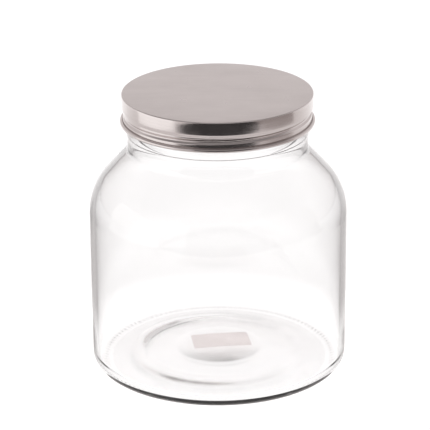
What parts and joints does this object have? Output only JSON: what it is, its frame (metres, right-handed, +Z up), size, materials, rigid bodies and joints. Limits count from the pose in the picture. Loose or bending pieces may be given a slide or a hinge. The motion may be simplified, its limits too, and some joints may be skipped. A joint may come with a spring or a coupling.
{
  "type": "lidded glass canister",
  "caption": "Wide round clear glass canister with a rounded shoulder, a threaded neck and a screw-on brushed steel lid with a seal.",
  "frame": {"origin": "centre of the face that the canister stands on", "axes": "+Z up along the axis of the jar and the lid; -Y faces the viewer of the picture"},
  "size_m": [0.151, 0.151, 0.1666],
  "materials": {
    "clear_glass": "clear polished soda-lime glass",
    "brushed_lid": "satin brushed stainless steel",
    "seal": "matt off-white sealing compound",
    "label_paper": "blank matt paper sticker"
  },
  "bodies": {
    "jar": {"glass_jar": "clear_glass", "base_label": "label_paper"},
    "seal": {"seal_ring": "seal"},
    "lid": {"lid_shell": "brushed_lid"}
  },
  "joints": [
    {"name": "lid_rise", "type": "slide", "parent": "jar", "child": "seal", "axis": [0, 0, 1], "range_m": [0, 0.0204]},
    {"name": "lid_turn", "type": "hinge", "parent": "seal", "child": "lid", "pos_m": [0, 0, 0.1666], "axis": [0, 0, 1], "range_deg": [0, 1440]}
  ],
  "couplings": [
    {"joint": "lid_rise", "follows": "lid_turn", "m_per_rad": 0.00080851}
  ]
}
